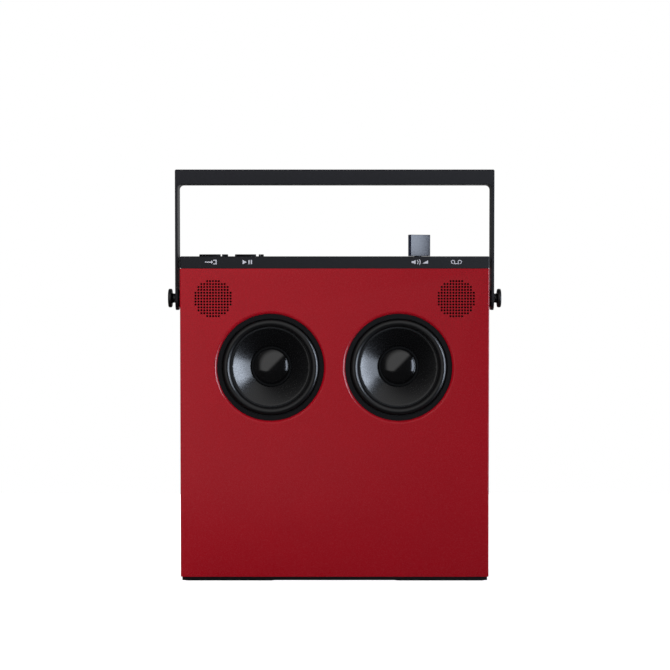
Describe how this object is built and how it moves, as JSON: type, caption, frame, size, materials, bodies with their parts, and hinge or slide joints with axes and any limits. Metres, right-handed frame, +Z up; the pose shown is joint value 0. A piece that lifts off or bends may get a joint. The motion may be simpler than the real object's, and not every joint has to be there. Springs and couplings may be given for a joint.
{
  "type": "portable stereo player",
  "caption": "Slim upright portable stereo player: red box cabinet with open woofers, perforated tweeter fields, a black control deck and a swinging carry handle.",
  "frame": {"origin": "middle of the footprint, on the surface that the feet stand on", "axes": "+X to the viewer's right, -Y to the front with the woofers, +Z up; the handle stands upright at rest"},
  "size_m": [0.233, 0.058, 0.2837],
  "materials": {
    "red_shell": "satin lacquer, deep red",
    "black_deck": "fine matt, near black",
    "black_plastic": "fine moulded grain, near black",
    "grey_plastic": "fine moulded grain, dark grey",
    "black_rubber": "soft, near black",
    "grey_rubber": "silicone, grey",
    "black_handle": "anodised, fine satin, near black",
    "black_stud": "anodised, satin, near black",
    "black_metal": "satin black paint",
    "black_screw": "blackened steel",
    "black_cone": "coated paper, satin black",
    "dark_knob": "fine satin, dark",
    "steel": "plated steel",
    "ferrite": "sintered ferrite, dark grey",
    "copper": "wound copper wire on a brown former",
    "brass": "turned brass",
    "bare_aluminium": "extruded, bare",
    "spider_cloth": "pressed and corrugated cloth, tan",
    "dome_cloth": "coated silk, near black",
    "mesh_cloth": "black acoustic mesh",
    "circuit_board": "green solder mask",
    "cell_sleeve": "shrink-sleeved cell, plain green-grey"
  },
  "bodies": {
    "cabinet": {"front_panel": "red_shell", "cabinet_shell": "red_shell", "top_cap": "black_deck", "rear_cover": "black_plastic", "rear_seal": "black_rubber", "base_plate": "black_plastic", "feet": "black_rubber", "port_tube": "black_plastic", "connector_plate": "grey_plastic", "usb_socket": "steel", "audio_jack": "black_plastic", "pivot_stud_left": "black_stud", "pivot_stud_right": "black_stud", "pivot_washers": "black_plastic", "pivot_inserts": "brass", "woofer_basket_left": "black_metal", "woofer_basket_right": "black_metal", "woofer_gasket_left": "black_rubber", "woofer_gasket_right": "black_rubber", "woofer_magnet_left": "ferrite", "woofer_magnet_right": "ferrite", "woofer_top_plates": "steel", "woofer_yokes": "steel", "tweeter_frame_left": "black_plastic", "tweeter_frame_right": "black_plastic", "tweeter_dome_left": "dome_cloth", "tweeter_dome_right": "dome_cloth", "tweeter_magnets": "ferrite", "grille_meshes": "mesh_cloth", "main_board": "circuit_board", "heat_sink": "bare_aluminium", "control_board": "circuit_board", "battery_cells": "cell_sleeve", "battery_cradle": "black_plastic", "volume_motor": "steel", "reel_motor": "steel", "input_dome": "grey_rubber", "play_dome": "grey_rubber", "rear_screws": "black_screw", "woofer_screws": "black_screw", "deck_screws": "steel", "board_screws": "steel"},
    "handle": {"handle": "black_handle"},
    "input_key": {"input_key": "black_deck"},
    "play_key": {"play_key": "black_deck"},
    "volume": {"volume_knob": "dark_knob", "volume_shaft": "steel"},
    "reel": {"reel_disc": "black_deck", "reel_shaft": "steel"},
    "woofer_left": {"woofer_cone_left": "black_cone", "dust_cap_left": "black_cone", "voice_coil_left": "copper", "woofer_surround_left": "black_rubber", "woofer_spider_left": "spider_cloth"},
    "woofer_right": {"woofer_cone_right": "black_cone", "dust_cap_right": "black_cone", "voice_coil_right": "copper", "woofer_surround_right": "black_rubber", "woofer_spider_right": "spider_cloth"}
  },
  "joints": [
    {"name": "handle_swing", "type": "hinge", "parent": "cabinet", "child": "handle", "pos_m": [0, 0, 0.1941], "axis": [1, 0, 0], "range_deg": [-150, 150]},
    {"name": "input_key_press", "type": "slide", "parent": "cabinet", "child": "input_key", "axis": [0, 0, -1], "range_m": [0, 0.0009], "stiffness_N_per_m": 1000, "springref_m": -0.0004, "deforming": ["input_dome"]},
    {"name": "play_key_press", "type": "slide", "parent": "cabinet", "child": "play_key", "axis": [0, 0, -1], "range_m": [0, 0.0009], "stiffness_N_per_m": 1000, "springref_m": -0.0004, "deforming": ["play_dome"]},
    {"name": "volume_turn", "type": "hinge", "parent": "cabinet", "child": "volume", "pos_m": [0.0583, 0, 0.2235], "axis": [0, 0, 1], "range_deg": [-150, 150]},
    {"name": "reel_spin", "type": "hinge", "parent": "cabinet", "child": "reel", "pos_m": [0.0833, 0, 0.2206], "axis": [0, 0, 1], "continuous": true},
    {"name": "woofer_left_stroke", "type": "slide", "parent": "cabinet", "child": "woofer_left", "axis": [0, -1, 0], "range_m": [-0.0015, 0.0015], "stiffness_N_per_m": 1200, "deforming": ["woofer_surround_left", "woofer_spider_left"]},
    {"name": "woofer_right_stroke", "type": "slide", "parent": "cabinet", "child": "woofer_right", "axis": [0, -1, 0], "range_m": [-0.0015, 0.0015], "stiffness_N_per_m": 1200, "deforming": ["woofer_surround_right", "woofer_spider_right"]}
  ]
}
